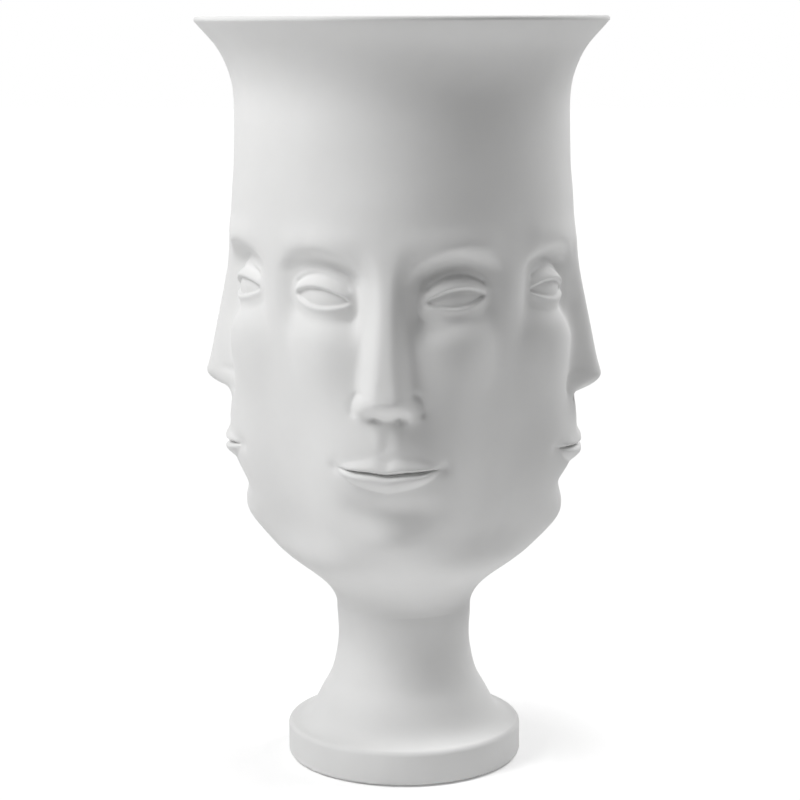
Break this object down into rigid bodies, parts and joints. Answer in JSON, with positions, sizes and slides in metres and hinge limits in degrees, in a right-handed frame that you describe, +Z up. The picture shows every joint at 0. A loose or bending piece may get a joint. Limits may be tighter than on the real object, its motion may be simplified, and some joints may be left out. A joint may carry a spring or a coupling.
{
  "type": "face vase",
  "caption": "Tall footed vase in matt white porcelain with calm faces in relief around the bowl and a flared rim.",
  "frame": {"origin": "middle of the plane that the vase stands on, under its axis", "axes": "+Z up along the axis of the vase, -Y towards the front face, +X to the right of the front face as seen"},
  "size_m": [0.2606, 0.2606, 0.48],
  "materials": {
    "bisque_porcelain": "matt unglazed bisque, faintly grained",
    "clear_glaze_white": "clear gloss glaze over white porcelain",
    "felt": "pressed wool felt"
  },
  "bodies": {
    "root": {"bowl": "bisque_porcelain", "glaze_lining": "clear_glaze_white", "pedestal": "bisque_porcelain", "slip_joint": "bisque_porcelain", "felt_pads": "felt"}
  },
  "joints": []
}
